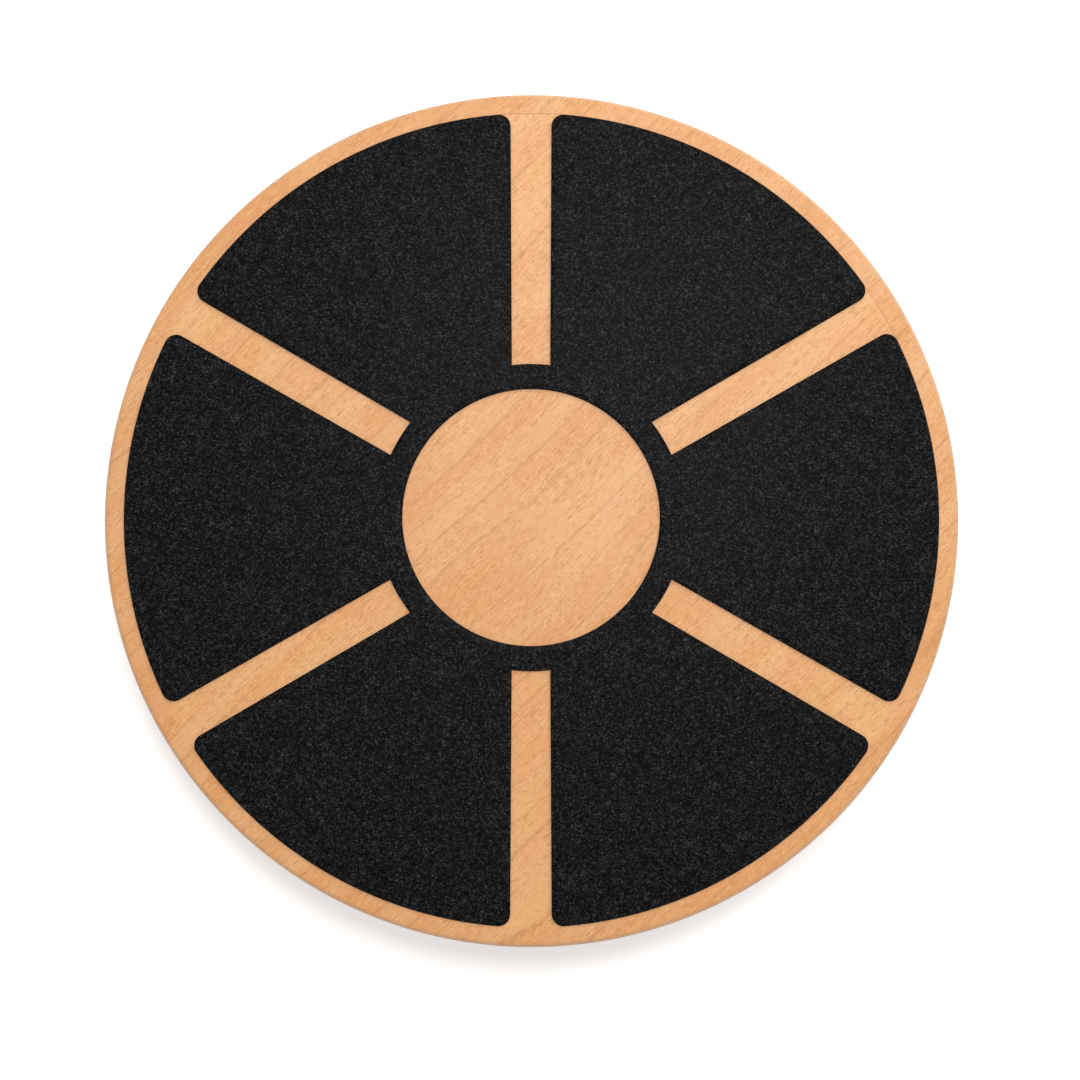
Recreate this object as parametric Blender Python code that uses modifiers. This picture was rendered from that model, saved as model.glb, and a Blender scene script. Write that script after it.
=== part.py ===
"""Wobble board: a round wooden deck with a grip sheet on top and a rolling dome underneath.

Lengths are in metres and +Z is up. The origin is on the floor, under the middle of the board,
which stands level on the small flat at the pole of its dome. The grip sheet's first lobe
points along +X.
"""

import math

import bmesh
import bpy
from mathutils import Matrix, Vector

# Deck, a plywood disc with eased edges and a shallow seat for the grip sheet
DECK_DIAMETER = 0.400
DECK_THICKNESS = 0.015
DECK_EDGE_RADIUS = 0.0025
SEAT_DEPTH = 0.0004

# Grip sheet, six lobes joined by a ring round a bare middle disc
GRIP_THICKNESS = 0.0010
GRIP_MARGIN = 0.0095
GRIP_CENTRE_DIAMETER = 0.1204
GRIP_RING_WIDTH = 0.0117
LOBE_COUNT = 6
LOBE_CORNER_RADIUS = 0.0055
SLOT_WIDTH = 0.018
SLOT_FLARE = 0.0013
SLOT_SHIFT = 0.0016

# Dome, hollow and ribbed, whose pole carries the sole
BASE_HEIGHT = 0.063
ROLL_RADIUS = 0.084
FOOT_RADIUS = 0.007
SHELL_WALL = 0.0035
SKIRT_WIDTH = 0.006
SKIRT_HEIGHT = 0.0035
SKIRT_EDGE_RADIUS = 0.001
HUB_RADIUS = 0.014
HUB_WALL = 0.0025
RIB_THICKNESS = 0.0022
RIBS_PER_SCREW = 2

# Sole, a rubbery cap with ring grooves and studs that snap into the dome
SOLE_THICKNESS = 0.004
SOLE_PROUD = 0.0008
SOLE_TO_WELL = 0.011
SOLE_EDGE_RADIUS = 0.0008
GROOVE_PITCH = 0.0066
GROOVE_WIDTH = 0.0016
GROOVE_DEPTH = 0.0012
STUD_INSET = 0.0145
STUD_DIAMETER = 0.005
STUD_HEAD_DIAMETER = 0.0076
STUD_HEAD_HEIGHT = 0.0028
STUD_ROOT_DEPTH = 0.001

# Screws, pan heads at the top of wells in the dome
SCREW_COUNT = 6
SCREW_INSET = 0.0200
SCREW_DIAMETER = 0.004
SCREW_PITCH = 0.0018
THREAD_DEPTH = 0.0006
SCREW_TIP_LENGTH = 0.004
SCREW_HEAD_DIAMETER = 0.008
SCREW_HEAD_HEIGHT = 0.0028
SCREW_HEAD_ROUND = 0.0012
RECESS_WIDTH = 0.0012
RECESS_SPAN = 0.0044
RECESS_DEPTH = 0.0016
WELL_CLEARANCE = 0.0015
WELL_WALL = 0.002
WELL_WEB = 0.004
PILOT_COVER = 0.0029

# Clearances: between pieces that touch, and how far a cutter runs past what it cuts
FIT_GAP = 0.0003
CUT_OVERRUN = 0.004

# Facets round each kind of piece, and along its arcs
DECK_SEGMENTS = 120
DOME_SEGMENTS = 60
SMALL_SEGMENTS = 12
WELL_SEGMENTS = 16
EDGE_STEPS = 3
BALL_STEPS = 8
INNER_STEPS = 5
LOBE_STEPS = 20
CORNER_STEPS = 5
SLOT_END_STEPS = 4
MERGE_DISTANCE = 0.00001
SHARP_ANGLE = math.radians(30)

# Colours are linear red, green and blue
BEECH = {"colour": (0.80, 0.42, 0.20), "roughness": 0.45, "metallic": 0.0}
GRIT = {"colour": (0.016, 0.015, 0.015), "roughness": 0.85, "metallic": 0.0}
BLACK_ABS = {"colour": (0.020, 0.020, 0.021), "roughness": 0.50, "metallic": 0.0}
SOLE_RUBBER = {"colour": (0.045, 0.046, 0.048), "roughness": 0.75, "metallic": 0.0}
ZINC_STEEL = {"colour": (0.55, 0.56, 0.58), "roughness": 0.35, "metallic": 1.0}

# Heights of the stack, from the floor up
base_top = BASE_HEIGHT - FIT_GAP
deck_bottom = BASE_HEIGHT
deck_top = deck_bottom + DECK_THICKNESS
seat_floor = deck_top - SEAT_DEPTH
web_bottom = base_top - WELL_WEB
pilot_top = seat_floor - PILOT_COVER

# Radii of the deck and the grip sheet
deck_radius = DECK_DIAMETER / 2
grip_radius = deck_radius - GRIP_MARGIN
seat_radius = grip_radius + FIT_GAP
slot_end_radius = GRIP_CENTRE_DIAMETER / 2 + GRIP_RING_WIDTH

# Spheres of the dome and the sole, all about one centre on the board's axis
roll_centre = math.sqrt(ROLL_RADIUS ** 2 - FOOT_RADIUS ** 2)
shell_sphere = ROLL_RADIUS - SOLE_PROUD
shell_inner_sphere = shell_sphere - SHELL_WALL
sole_inner_sphere = ROLL_RADIUS - SOLE_THICKNESS
recess_sphere = sole_inner_sphere - FIT_GAP
recess_inner_sphere = recess_sphere - SHELL_WALL


def radius_at(sphere, height):
    """Radius of a sphere about the roll centre, at a height above the floor."""
    return math.sqrt(sphere ** 2 - (roll_centre - height) ** 2)


def height_at(sphere, radius):
    """Height of the lower side of a sphere about the roll centre, at a radius."""
    return roll_centre - math.sqrt(sphere ** 2 - radius ** 2)


# Circles that the screws, the sole and its studs lie on
screw_circle = radius_at(shell_sphere, base_top) - SCREW_INSET
well_radius = SCREW_HEAD_DIAMETER / 2 + WELL_CLEARANCE
sole_radius = screw_circle - well_radius - SOLE_TO_WELL
recess_radius = sole_radius + FIT_GAP
stud_angle = math.asin((sole_radius - STUD_INSET) / sole_inner_sphere)
rib_turn = 2 * math.pi / (SCREW_COUNT * RIBS_PER_SCREW)


def arc(centre, radius, start, end, steps):
    """Points of an arc in degrees, anticlockwise from +r when end is larger than start."""
    angles = [math.radians(start + (end - start) * i / steps) for i in range(steps + 1)]
    return [(centre[0] + radius * math.cos(a), centre[1] + radius * math.sin(a)) for a in angles]


def sphere_arc(sphere, start_radius, end_radius, steps):
    """Points on the lower side of a sphere about the roll centre, evenly spaced by angle."""
    start, end = math.asin(start_radius / sphere), math.asin(end_radius / sphere)
    angles = [start + (end - start) * i / steps for i in range(steps + 1)]
    return [(sphere * math.sin(a), roll_centre - sphere * math.cos(a)) for a in angles]


def shell_arc(sphere, top, end_radius, steps):
    """Points down a sphere about the roll centre, from a height to a radius on its lower side."""
    start, end = math.acos((roll_centre - top) / sphere), math.asin(end_radius / sphere)
    angles = [start + (end - start) * i / steps for i in range(steps + 1)]
    return [(sphere * math.sin(a), roll_centre - sphere * math.cos(a)) for a in angles]


def new_collection(name):
    """A collection linked to the scene."""
    collection = bpy.data.collections.new(name)
    bpy.context.scene.collection.children.link(collection)
    return collection


def new_material(name, finish):
    """A Principled material with a flat colour, roughness and metallic value."""
    material = bpy.data.materials.new(name)
    material.use_nodes = True
    shader = material.node_tree.nodes["Principled BSDF"]
    shader.inputs["Base Color"].default_value = (*finish["colour"], 1.0)
    shader.inputs["Roughness"].default_value = finish["roughness"]
    shader.inputs["Metallic"].default_value = finish["metallic"]
    material.diffuse_color = (*finish["colour"], 1.0)
    return material


def new_object(name, data, collection):
    """An object in a collection."""
    obj = bpy.data.objects.new(name, data)
    collection.objects.link(obj)
    return obj


def turned(name, profile, segments, collection):
    """A solid of revolution about Z, from (r, z) points that run from the top round to the bottom."""
    mesh = bpy.data.meshes.new(name)
    edges = [(i, i + 1) for i in range(len(profile) - 1)]
    mesh.from_pydata([(r, 0.0, z) for r, z in profile], edges, [])
    obj = new_object(name, mesh, collection)
    screw = obj.modifiers.new("Turn", 'SCREW')
    screw.steps = screw.render_steps = segments
    screw.use_merge_vertices = True
    screw.merge_threshold = MERGE_DISTANCE
    return obj


def turned_ring(name, inner, outer, low, high, segments, collection):
    """A plain tube about Z, turned from a closed rectangle."""
    profile = [(inner, high), (outer, high), (outer, low), (inner, low), (inner, high)]
    return turned(name, profile, segments, collection)


def box(name, low, high, collection):
    """A box between two corners."""
    mesh = bpy.data.meshes.new(name)
    work = bmesh.new()
    size = [b - a for a, b in zip(low, high)]
    middle = [(a + b) / 2 for a, b in zip(low, high)]
    place = Matrix.Translation(middle) @ Matrix.Diagonal((*size, 1.0))
    bmesh.ops.create_cube(work, size=1.0, matrix=place)
    work.to_mesh(mesh)
    work.free()
    return new_object(name, mesh, collection)


def combine(obj, other, operation):
    """Cuts another object out of this one, or joins it to it."""
    modifier = obj.modifiers.new(other.name, 'BOOLEAN')
    modifier.operation = operation
    modifier.object = other


def evaluated_mesh(obj):
    """A new mesh of an object with its modifiers applied."""
    bpy.context.view_layer.update()
    graph = bpy.context.evaluated_depsgraph_get()
    return bpy.data.meshes.new_from_object(obj.evaluated_get(graph), depsgraph=graph)


def freeze(obj):
    """Turns an object's modifiers into its mesh."""
    obj.data = evaluated_mesh(obj)
    obj.modifiers.clear()


def hide_cutter(obj):
    """Leaves an object in the file as a guide only."""
    obj.hide_render = True
    obj.display_type = 'WIRE'


def settle(obj, material):
    """Applies an object's modifiers, welds it, shades it smooth between sharp edges, paints it."""
    freeze(obj)
    mesh = obj.data
    work = bmesh.new()
    work.from_mesh(mesh)
    bmesh.ops.remove_doubles(work, verts=work.verts, dist=MERGE_DISTANCE)
    work.to_mesh(mesh)
    work.free()
    mesh.shade_smooth()
    mesh.set_sharp_from_angle(angle=SHARP_ANGLE)
    mesh.materials.clear()
    mesh.materials.append(material)


def copies_round(obj, count, collection):
    """Copies of an object that share its mesh, spaced evenly about Z, in place of the object."""
    freeze(obj)
    copies = []
    for i in range(count):
        copy = new_object(f"{obj.name}_{i + 1}", obj.data, collection)
        copy.matrix_world = Matrix.Rotation(2 * math.pi * i / count, 4, 'Z') @ obj.matrix_world
        copies.append(copy)
    bpy.data.objects.remove(obj)
    return copies


def move_out(obj):
    """Moves an object that was made on the board's axis out to the circle of the screws."""
    obj.matrix_world = Matrix.Translation((screw_circle, 0.0, 0.0))


def deck_profile():
    """Deck: seat floor, seat wall, rim, eased top edge, side, eased bottom edge, underside."""
    corner = deck_radius - DECK_EDGE_RADIUS
    top_edge = arc((corner, deck_top - DECK_EDGE_RADIUS), DECK_EDGE_RADIUS, 90, 0, EDGE_STEPS)
    low_edge = arc((corner, deck_bottom + DECK_EDGE_RADIUS), DECK_EDGE_RADIUS, 0, -90, EDGE_STEPS)
    seat = [(0.0, seat_floor), (seat_radius, seat_floor), (seat_radius, deck_top)]
    return seat + top_edge + low_edge + [(0.0, deck_bottom)]


def build_deck(parts, cutters):
    """The wooden disc, with a blind pilot hole for each screw."""
    deck = turned("deck", deck_profile(), DECK_SEGMENTS, parts)
    hole_radius = SCREW_DIAMETER / 2 + FIT_GAP
    hole_low = deck_bottom - CUT_OVERRUN
    profile = [(0.0, pilot_top), (hole_radius, pilot_top), (hole_radius, hole_low), (0.0, hole_low)]
    pilot_hole = turned("pilot_hole", profile, SMALL_SEGMENTS, cutters)
    move_out(pilot_hole)
    for hole in copies_round(pilot_hole, SCREW_COUNT, cutters):
        combine(deck, hole, 'DIFFERENCE')
    return deck


def slot_shift(angle):
    """How far a slot at an angle in degrees lies to the left of its radius, seen from the centre.

    It goes with the sine of twice the angle, so the lobes on +X and -X are wider than the rest.
    """
    return SLOT_SHIFT * math.sin(math.radians(2 * angle))


def bearing(point):
    """A point's angle from +X, in degrees."""
    return math.degrees(math.atan2(point[1], point[0]))


def slot_side(half):
    """One side of a slot along +X, from its inner corner, half a slot from the axis, to the rim.

    The side runs straight and widens by the flare, then an arc of the corner radius turns it
    into the sheet's outer circle. The arc's centre is one corner radius from both.
    """
    start = (math.sqrt(slot_end_radius ** 2 - half ** 2), half)
    flare = math.atan2(SLOT_FLARE / 2, grip_radius - slot_end_radius)
    along = (math.cos(flare), math.sin(flare))
    across = (-along[1], along[0])
    near = [start[k] + across[k] * LOBE_CORNER_RADIUS for k in range(2)]
    reach = grip_radius - LOBE_CORNER_RADIUS
    middle = near[0] * along[0] + near[1] * along[1]
    run = math.sqrt(middle ** 2 + reach ** 2 - near[0] ** 2 - near[1] ** 2) - middle
    centre = [near[k] + along[k] * run for k in range(2)]
    first = math.degrees(flare) - 90
    return [start] + arc(centre, LOBE_CORNER_RADIUS, first, bearing(centre), CORNER_STEPS)


def grip_outline():
    """The sheet's outer outline, anticlockwise: a slot, then a lobe's outer arc, and so on.

    Each slot and the lobe after it are drawn with the slot along +X and turned to their place.
    """
    lobe_turn = 360 / LOBE_COUNT
    outline = []
    for i in range(LOBE_COUNT):
        angle = lobe_turn * (i + 0.5)
        right = slot_side(SLOT_WIDTH / 2 - slot_shift(angle))
        left = slot_side(SLOT_WIDTH / 2 + slot_shift(angle))
        beyond = slot_side(SLOT_WIDTH / 2 - slot_shift(angle + lobe_turn))
        end = arc((0.0, 0.0), slot_end_radius, -bearing(right[0]), bearing(left[0]), SLOT_END_STEPS)
        lobe = arc((0.0, 0.0), grip_radius, bearing(left[-1]), lobe_turn - bearing(beyond[-1]),
                   LOBE_STEPS)
        points = [(x, -y) for x, y in reversed(right)] + end[1:-1] + left + lobe[1:-1]
        turn = Matrix.Rotation(math.radians(angle), 3, 'Z')
        outline += [(turn @ Vector((x, y, 0.0))).to_2d() for x, y in points]
    return outline


def add_outline(curve, points):
    """A closed straight-sided spline in a 2D curve."""
    spline = curve.splines.new('POLY')
    spline.points.add(len(points) - 1)
    for place, (x, y) in zip(spline.points, points):
        place.co = (x, y, 0.0, 1.0)
    spline.use_cyclic_u = True


def build_grip(parts):
    """The grip sheet, cut from a flat sheet, lying in the deck's seat."""
    curve = bpy.data.curves.new("grip_outline", 'CURVE')
    curve.dimensions = '2D'
    curve.fill_mode = 'BOTH'
    curve.extrude = GRIP_THICKNESS / 2
    add_outline(curve, grip_outline())
    centre_steps = LOBE_STEPS * LOBE_COUNT
    circle = arc((0.0, 0.0), GRIP_CENTRE_DIAMETER / 2, 0, 360, centre_steps)[:-1]
    add_outline(curve, circle)
    flat = new_object("grip_outline", curve, parts)
    flat.location.z = seat_floor + FIT_GAP + GRIP_THICKNESS / 2
    bpy.context.view_layer.update()
    grip = new_object("grip_sheet", evaluated_mesh(flat), parts)
    grip.matrix_world = flat.matrix_world
    bpy.data.objects.remove(flat)
    return grip


def dome_profile():
    """Outside of the dome: top face, skirt, ball, recess wall and recess floor."""
    skirt_radius = radius_at(shell_sphere, base_top) + SKIRT_WIDTH
    skirt_bottom = base_top - SKIRT_HEIGHT
    centre = (skirt_radius - SKIRT_EDGE_RADIUS, skirt_bottom + SKIRT_EDGE_RADIUS)
    skirt_edge = arc(centre, SKIRT_EDGE_RADIUS, 0, -90, EDGE_STEPS)
    ball = shell_arc(shell_sphere, skirt_bottom, recess_radius, BALL_STEPS)
    recess = sphere_arc(recess_sphere, recess_radius, 0.0, INNER_STEPS)
    return [(0.0, base_top), (skirt_radius, base_top)] + skirt_edge + ball + recess


def cavity_profile():
    """Inside of the dome, open at the top, one wall in from the ball and from the recess."""
    lid = base_top + CUT_OVERRUN
    mouth = radius_at(shell_inner_sphere, base_top)
    step_radius = recess_radius + SHELL_WALL
    side = shell_arc(shell_inner_sphere, base_top, step_radius, INNER_STEPS)
    floor = sphere_arc(recess_inner_sphere, step_radius, 0.0, INNER_STEPS)
    return [(0.0, lid), (mouth, lid)] + side + floor


def build_cavity(cutters):
    """The hollow of the dome, less its hub, its ribs and the tubes round its screw wells."""
    cavity = turned("dome_cavity", cavity_profile(), DOME_SEGMENTS, cutters)
    low, high = -CUT_OVERRUN, base_top + 2 * CUT_OVERRUN
    hub_inner = HUB_RADIUS - HUB_WALL
    hub = turned_ring("hub", hub_inner, HUB_RADIUS, low, high, WELL_SEGMENTS, cutters)
    combine(cavity, hub, 'DIFFERENCE')
    rib_middle = HUB_RADIUS - HUB_WALL / 2
    half = RIB_THICKNESS / 2
    rib = box("rib", (rib_middle, -half, low), (ROLL_RADIUS, half, high), cutters)
    for copy in copies_round(rib, SCREW_COUNT * RIBS_PER_SCREW, cutters):
        combine(cavity, copy, 'DIFFERENCE')
    tube_radius = well_radius + WELL_WALL
    tube_profile = [(0.0, high), (tube_radius, high), (tube_radius, low), (0.0, low)]
    tube = turned("well_tube", tube_profile, WELL_SEGMENTS, cutters)
    move_out(tube)
    for copy in copies_round(tube, SCREW_COUNT, cutters):
        combine(cavity, copy, 'DIFFERENCE')
    return cavity


def well_profile():
    """One screw well: a hole for the shank through the web, over a wide hole for the head."""
    shank = SCREW_DIAMETER / 2 + FIT_GAP
    high, low = base_top + CUT_OVERRUN, -CUT_OVERRUN
    return [(0.0, high), (shank, high), (shank, web_bottom),
            (well_radius, web_bottom), (well_radius, low), (0.0, low)]


def on_stud_axis(obj):
    """Places an object, made about the pole, on the first stud's axis through the roll centre."""
    centre = Matrix.Translation((0.0, 0.0, roll_centre))
    tilt = Matrix.Rotation(-stud_angle, 4, 'Y')
    turn = Matrix.Rotation(rib_turn / 2, 4, 'Z')
    obj.matrix_world = turn @ centre @ tilt @ centre.inverted()


def build_dome(parts, cutters):
    """The hollow dome with its wells, and a hole for each stud of the sole."""
    dome = turned("base_dome", dome_profile(), DOME_SEGMENTS, parts)
    combine(dome, build_cavity(cutters), 'DIFFERENCE')
    well = turned("screw_well", well_profile(), WELL_SEGMENTS, cutters)
    move_out(well)
    for copy in copies_round(well, SCREW_COUNT, cutters):
        combine(dome, copy, 'DIFFERENCE')
    hole_radius = STUD_DIAMETER / 2 + FIT_GAP
    high = height_at(recess_inner_sphere, 0.0) + CUT_OVERRUN
    hole_profile = [(0.0, high), (hole_radius, high), (hole_radius, 0.0), (0.0, 0.0)]
    hole = turned("stud_hole", hole_profile, SMALL_SEGMENTS, cutters)
    on_stud_axis(hole)
    for copy in copies_round(hole, SCREW_COUNT, cutters):
        combine(dome, copy, 'DIFFERENCE')
    return dome


def sole_profile():
    """Sole: inner face, rim, then the rolling face with its ring grooves, down to the foot."""
    edge_height = height_at(ROLL_RADIUS, sole_radius) + SOLE_EDGE_RADIUS
    land_radius = sole_radius - SOLE_EDGE_RADIUS
    profile = sphere_arc(sole_inner_sphere, 0.0, sole_radius, INNER_STEPS)
    profile += [(sole_radius, edge_height), (land_radius, height_at(ROLL_RADIUS, land_radius))]
    groove_sphere = ROLL_RADIUS - GROOVE_DEPTH
    outer = land_radius - GROOVE_PITCH + GROOVE_WIDTH
    while outer > FOOT_RADIUS + 2 * GROOVE_WIDTH:
        inner = outer - GROOVE_WIDTH
        profile += [(outer, height_at(ROLL_RADIUS, outer)), (outer, height_at(groove_sphere, outer)),
                    (inner, height_at(groove_sphere, inner)), (inner, height_at(ROLL_RADIUS, inner))]
        outer -= GROOVE_PITCH
    return profile + [(FOOT_RADIUS, 0.0), (0.0, 0.0)]


def stud_profile():
    """One stud: a barbed head inside the dome, over a stem that starts inside the sole."""
    seat = height_at(recess_inner_sphere, 0.0) + FIT_GAP
    top = seat + STUD_HEAD_HEIGHT
    root = height_at(sole_inner_sphere, 0.0) - STUD_ROOT_DEPTH
    stem, head = STUD_DIAMETER / 2, STUD_HEAD_DIAMETER / 2
    return [(0.0, top), (stem, top), (head, seat), (stem, seat), (stem, root), (0.0, root)]


def build_sole(parts, cutters):
    """The sole with its studs joined on."""
    sole = turned("dome_sole", sole_profile(), DOME_SEGMENTS, parts)
    stud = turned("sole_stud", stud_profile(), SMALL_SEGMENTS, cutters)
    on_stud_axis(stud)
    for copy in copies_round(stud, SCREW_COUNT, cutters):
        combine(sole, copy, 'UNION')
    return sole


def screw_profile():
    """One screw, tip up: point, thread as rings at the pitch, plain neck and pan head."""
    seat = web_bottom - FIT_GAP
    tip = pilot_top - FIT_GAP
    crest = SCREW_DIAMETER / 2
    core = crest - THREAD_DEPTH
    head = SCREW_HEAD_DIAMETER / 2
    height = tip - SCREW_TIP_LENGTH
    profile = [(0.0, tip), (core, height)]
    while height - SCREW_PITCH > deck_bottom:
        profile += [(crest, height - SCREW_PITCH / 2), (core, height - SCREW_PITCH)]
        height -= SCREW_PITCH
    face = seat - SCREW_HEAD_HEIGHT
    profile += [(crest, height - THREAD_DEPTH), (crest, seat), (head, seat)]
    return profile + [(head, face + SCREW_HEAD_ROUND), (head - SCREW_HEAD_ROUND, face), (0.0, face)]


def build_screws(parts, cutters):
    """Like screws with a cross recess, which share one mesh."""
    screw = turned("base_screw", screw_profile(), SMALL_SEGMENTS, parts)
    face = web_bottom - FIT_GAP - SCREW_HEAD_HEIGHT
    low, high = face - CUT_OVERRUN, face + RECESS_DEPTH
    across, span = RECESS_WIDTH / 2, RECESS_SPAN / 2
    bars = [box("recess_x", (-span, -across, low), (span, across, high), cutters),
            box("recess_y", (-across, -span, low), (across, span, high), cutters)]
    for bar in bars:
        combine(screw, bar, 'DIFFERENCE')
    settle(screw, new_material("zinc_steel", ZINC_STEEL))
    move_out(screw)
    return copies_round(screw, SCREW_COUNT, parts)


def main():
    """Clears the scene and builds the board."""
    for obj in list(bpy.data.objects):
        bpy.data.objects.remove(obj)
    parts = new_collection("wobble_board")
    cutters = new_collection("cutters")
    deck = build_deck(parts, cutters)
    grip = build_grip(parts)
    dome = build_dome(parts, cutters)
    sole = build_sole(parts, cutters)
    screws = build_screws(parts, cutters)
    settle(deck, new_material("beech", BEECH))
    settle(grip, new_material("grit_sheet", GRIT))
    settle(dome, new_material("black_abs", BLACK_ABS))
    settle(sole, new_material("sole_rubber", SOLE_RUBBER))
    for cutter in cutters.objects:
        hide_cutter(cutter)
    board = new_object("wobble_board_origin", None, parts)
    for part in [deck, grip, dome, sole] + screws:
        part.parent = board


main()
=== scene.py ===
"""Wobble board: the looks of a round beech deck with a grit sheet, a moulded dome and a rubber sole.

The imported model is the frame. Each fine piece here takes its size and place from the node that it
stands for, and sits in the same frame: metres, +Z up, origin on the floor under the middle of the
board. Settings hold the sizes and colours, an operator makes each piece or group of like pieces,
and the sidebar's panel lists them.
"""

import math

import bmesh
import bpy
import numpy as np
from bpy.props import FloatProperty, FloatVectorProperty, IntProperty, PointerProperty
from bpy.types import Operator, Panel, PropertyGroup
from mathutils import Matrix, Vector


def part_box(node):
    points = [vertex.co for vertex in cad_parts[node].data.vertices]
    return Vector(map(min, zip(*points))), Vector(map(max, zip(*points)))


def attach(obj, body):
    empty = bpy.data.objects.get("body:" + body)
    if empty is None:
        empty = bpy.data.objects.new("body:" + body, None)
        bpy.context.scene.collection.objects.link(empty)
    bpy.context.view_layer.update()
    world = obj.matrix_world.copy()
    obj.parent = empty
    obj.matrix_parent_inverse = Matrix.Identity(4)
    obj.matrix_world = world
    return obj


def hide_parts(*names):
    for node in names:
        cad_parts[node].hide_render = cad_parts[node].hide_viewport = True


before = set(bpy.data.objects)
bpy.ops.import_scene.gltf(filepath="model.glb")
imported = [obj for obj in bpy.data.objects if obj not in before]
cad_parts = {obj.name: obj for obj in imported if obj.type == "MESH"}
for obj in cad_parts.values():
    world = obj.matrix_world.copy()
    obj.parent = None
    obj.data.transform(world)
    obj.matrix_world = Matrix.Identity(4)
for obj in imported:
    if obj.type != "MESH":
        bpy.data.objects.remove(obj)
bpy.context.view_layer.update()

bl_info = {
    "name": "Wobble board",
    "version": (1, 0, 0),
    "blender": (4, 5, 0),
    "location": "View3D > Sidebar > Wobble board",
    "description": "Dresses a round balance board: beech deck, grit sheet, dome, sole and screws",
    "category": "Add Mesh",
}

# The frame, measured once: the whole model and each node that a piece here stands for
deck_low, deck_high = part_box("deck")
grip_low, grip_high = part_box("grip_sheet")
dome_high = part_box("base_dome")[1]
screw_names = sorted(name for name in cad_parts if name.startswith("base_screw"))
screw_low, screw_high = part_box(screw_names[0])

# Heights and radii that every piece shares
deck_radius = deck_high.x
deck_bottom = deck_low.z
deck_top = deck_high.z
base_top = dome_high.z
fit_gap = deck_bottom - base_top
seat_radius = grip_high.x + fit_gap
skirt_radius = dome_high.x
screw_circle = (screw_low.x + screw_high.x) / 2
head_radius = (screw_high.y - screw_low.y) / 2
screw_count = len(screw_names)
deck_middle = Vector((0.0, 0.0, deck_top))

# Welding distance of seams and poles, and the angle past which an edge stays sharp
WELD = 0.000002
SHARP = math.radians(32)


# Settings

def length(label, text, default):
    """A length property in metres."""
    return FloatProperty(name=label, description=text, default=default, min=0.0, precision=5,
                         unit='LENGTH')


def tint(label, text, default):
    """A colour property in linear red, green and blue."""
    return FloatVectorProperty(name=label, description=text, default=default, min=0.0, max=1.0,
                               size=3, subtype='COLOR')


class DeckSettings(PropertyGroup):
    """The turned plywood deck."""
    edge_radius: length("Edge radius", "Rounding of the deck's rim", 0.0025)
    seat_depth: length("Seat depth", "Depth of the seat under the grit sheet", 0.00025)
    ply_count: IntProperty(name="Plies", description="Veneers in the deck", default=11, min=3)
    grain_angle: FloatProperty(name="Grain angle", description="Run of the face grain, from +X",
                               default=math.radians(45), subtype='ANGLE')
    wood: tint("Wood", "Colour of the beech", (0.705, 0.343, 0.1195))
    fleck: tint("Fleck", "Colour of the dark ray flecks", (0.545, 0.236, 0.070))
    blush: tint("Blush", "Multiplies the wood's colour where it is pinker", (0.985, 0.940, 1.0))
    pale: tint("Pale", "Colour of the light fibres", (0.860, 0.480, 0.205))
    glue: tint("Glue", "Colour of the glue lines on the rim", (0.240, 0.105, 0.040))
    # Painted highlight: a pale colour laid over the rim's rounded edges, standing in for the light they
    # catch
    edge_highlight: tint("Edge highlight", "Colour that the eased edges fade to", (0.900, 0.800, 0.680))


class GripSettings(PropertyGroup):
    """The lobed grit sheet."""
    centre_diameter: length("Bare centre", "Diameter of the bare disc", 0.1204)
    ring_width: length("Ring width", "Width of the ring that joins the lobes", 0.0117)
    slot_width: length("Slot width", "Width of a slot at its inner end", 0.018)
    slot_flare: length("Slot flare", "How much wider a slot is at the rim", 0.0013)
    slot_shift: length("Slot shift", "How far the slots stray, to widen two lobes", 0.0016)
    corner_radius: length("Corner radius", "Rounding of the lobes' outer corners", 0.0055)
    lobe_count: IntProperty(name="Lobes", description="Lobes round the sheet", default=6, min=3)
    edge_round: length("Edge rounding", "Rounding of the sheet's cut edge", 0.00012)
    grit: tint("Grit", "Colour of the darkest grains", (0.0008, 0.0008, 0.0008))
    spark: tint("Spark", "Colour of the lightest grains", (0.0850, 0.0850, 0.0870))


class DomeSettings(PropertyGroup):
    """The hollow moulded dome."""
    roll_radius: length("Rolling radius", "Radius that the board rolls on", 0.084)
    foot_radius: length("Foot radius", "Radius of the flat at the pole", 0.007)
    sole_proud: length("Sole proud", "How far the sole stands out of the dome", 0.0008)
    wall: length("Wall", "Wall of the shell", 0.0035)
    skirt_height: length("Skirt height", "Height of the flat skirt", 0.0035)
    skirt_round: length("Skirt rounding", "Rounding of the skirt's lower edge", 0.001)
    corner_round: length("Corner rounding", "Rounding of the other moulded corners", 0.0006)
    hub_radius: length("Hub radius", "Outer radius of the hub", 0.014)
    hub_wall: length("Hub wall", "Wall of the hub", 0.0025)
    rib: length("Rib", "Thickness of a rib", 0.0022)
    ribs_per_screw: IntProperty(name="Ribs per screw", description="Ribs for each screw", default=2, min=1)
    well_clearance: length("Well clearance", "Room round a screw's head", 0.0015)
    well_wall: length("Well wall", "Wall of the tube round a well", 0.002)
    well_web: length("Well web", "Plastic that a screw's head bears on", 0.004)
    plastic: tint("Plastic", "Colour of the moulded dome", (0.020, 0.020, 0.021))


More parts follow.
